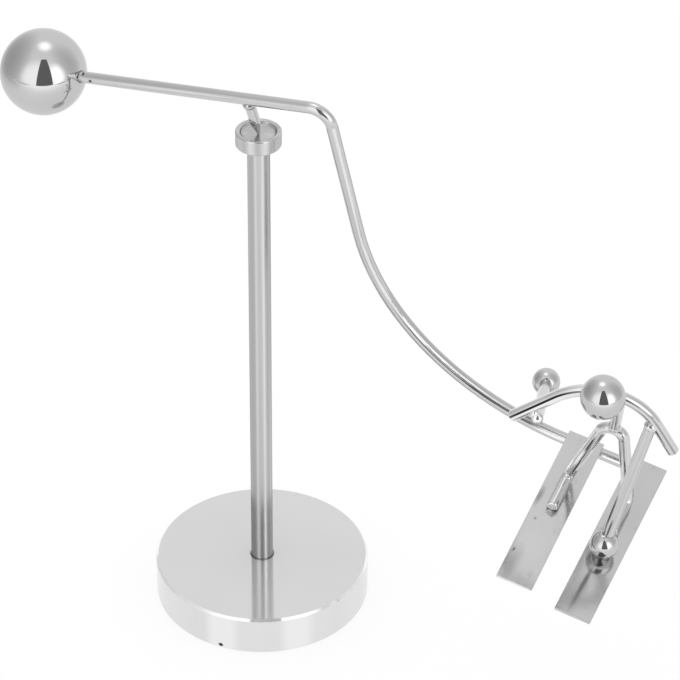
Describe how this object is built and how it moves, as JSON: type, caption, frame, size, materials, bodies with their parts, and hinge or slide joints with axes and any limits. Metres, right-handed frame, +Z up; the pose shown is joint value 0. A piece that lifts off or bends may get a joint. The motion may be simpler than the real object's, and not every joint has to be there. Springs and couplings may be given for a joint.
{
  "type": "counterweight balancing toy",
  "caption": "Balancing desk toy: a bent wire with a skier figure at one end and a counterweight ball at the other rocks and spins on a needle point in a cup on a column.",
  "frame": {"origin": "middle of the pad's underside, on the table", "axes": "+Z up along the column, +X to the skier's side at rest, +Y to the back of the skis"},
  "size_m": [0.1962, 0.0624, 0.1688],
  "materials": {
    "turned_base": "turned and polished",
    "pad": "matt",
    "screw": "zinc plated",
    "column": "drawn, with fine lengthwise lines",
    "cup": "turned",
    "wire": "bright plated",
    "balls": "bright plated",
    "weight": "bright chrome plate over solid brass",
    "skis": "bright sheet with light smudges",
    "solder": "bright plated beads"
  },
  "bodies": {
    "stand": {"base_disc": "turned_base", "base_pad": "pad", "column_screw": "screw", "column": "column"},
    "cup": {"pivot_cup": "cup"},
    "balancer": {"pivot_pin": "wire", "balance_arm": "wire", "counterweight_ball": "weight", "left_ski": "skis", "right_ski": "skis", "legs": "wire", "torso": "wire", "head": "balls", "arms": "wire", "left_pole": "wire", "right_pole": "wire", "left_pole_ball": "balls", "right_pole_ball": "balls", "pin_weld": "solder", "ski_welds": "solder", "foot_welds": "solder", "hip_weld": "solder", "shoulder_weld": "solder", "neck_weld": "solder", "pole_welds": "solder"}
  },
  "joints": [
    {"name": "needle_spin", "type": "hinge", "parent": "stand", "child": "cup", "pos_m": [0, 0, 0.15335], "axis": [0, 0, 1], "continuous": true},
    {"name": "needle_rock", "type": "hinge", "parent": "cup", "child": "balancer", "pos_m": [0, 0, 0.15335], "axis": [0, 1, 0], "range_deg": [-25, 25]}
  ]
}
